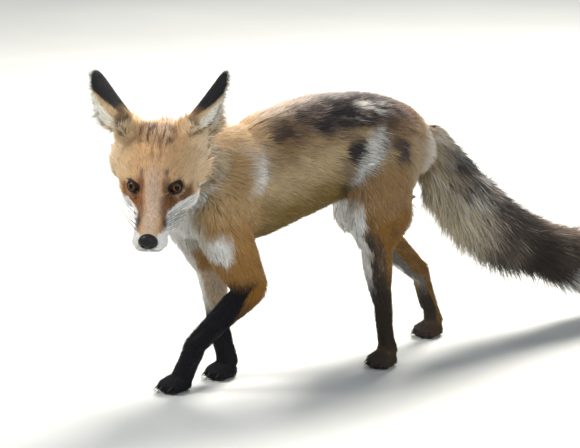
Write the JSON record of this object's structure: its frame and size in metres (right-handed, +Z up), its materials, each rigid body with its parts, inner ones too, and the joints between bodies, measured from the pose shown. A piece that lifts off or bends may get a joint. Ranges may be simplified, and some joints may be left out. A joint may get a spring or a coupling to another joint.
{
  "type": "red fox model",
  "caption": "Life-size standing model of a red fox in a slow walk, head lowered and turned to its left, ears swung out, brush trailing behind.",
  "frame": {"origin": "middle of the footprint of the whole animal, on the plane of its soles", "axes": "+Z up, -Y the way the animal walks, +X its left side"},
  "size_m": [0.1808, 0.9218, 0.4305],
  "materials": {
    "chest": "short and long fur",
    "ear_left": "short and long fur",
    "ear_right": "short and long fur",
    "eye_left": "wet, clear over a brown iris",
    "eye_right": "wet, clear over a brown iris",
    "fore_paw_left": "short and long fur",
    "fore_paw_right": "short and long fur",
    "forearm_left": "short and long fur",
    "forearm_right": "short and long fur",
    "head": "short and long fur",
    "hind_paw_left": "short and long fur",
    "hind_paw_right": "short and long fur",
    "hock_left": "short and long fur",
    "hock_right": "short and long fur",
    "loins": "short and long fur",
    "neck": "short and long fur",
    "nose_leather": "fine-grained, moist",
    "rump": "short and long fur",
    "shank_left": "short and long fur",
    "shank_right": "short and long fur",
    "shoulder_left": "short and long fur",
    "shoulder_right": "short and long fur",
    "tail_lower": "short and long fur",
    "tail_middle": "short and long fur",
    "tail_root": "short and long fur",
    "tail_tip": "short and long fur",
    "tail_upper": "short and long fur",
    "thigh_left": "short and long fur",
    "thigh_right": "short and long fur"
  },
  "bodies": {
    "root": {"chest": "chest", "ear_left": "ear_left", "ear_right": "ear_right", "eye_left": "eye_left", "eye_right": "eye_right", "fore_paw_left": "fore_paw_left", "fore_paw_right": "fore_paw_right", "forearm_left": "forearm_left", "forearm_right": "forearm_right", "head": "head", "hind_paw_left": "hind_paw_left", "hind_paw_right": "hind_paw_right", "hock_left": "hock_left", "hock_right": "hock_right", "loins": "loins", "neck": "neck", "nose_leather": "nose_leather", "rump": "rump", "shank_left": "shank_left", "shank_right": "shank_right", "shoulder_left": "shoulder_left", "shoulder_right": "shoulder_right", "tail_lower": "tail_lower", "tail_middle": "tail_middle", "tail_root": "tail_root", "tail_tip": "tail_tip", "tail_upper": "tail_upper", "thigh_left": "thigh_left", "thigh_right": "thigh_right"}
  },
  "joints": []
}
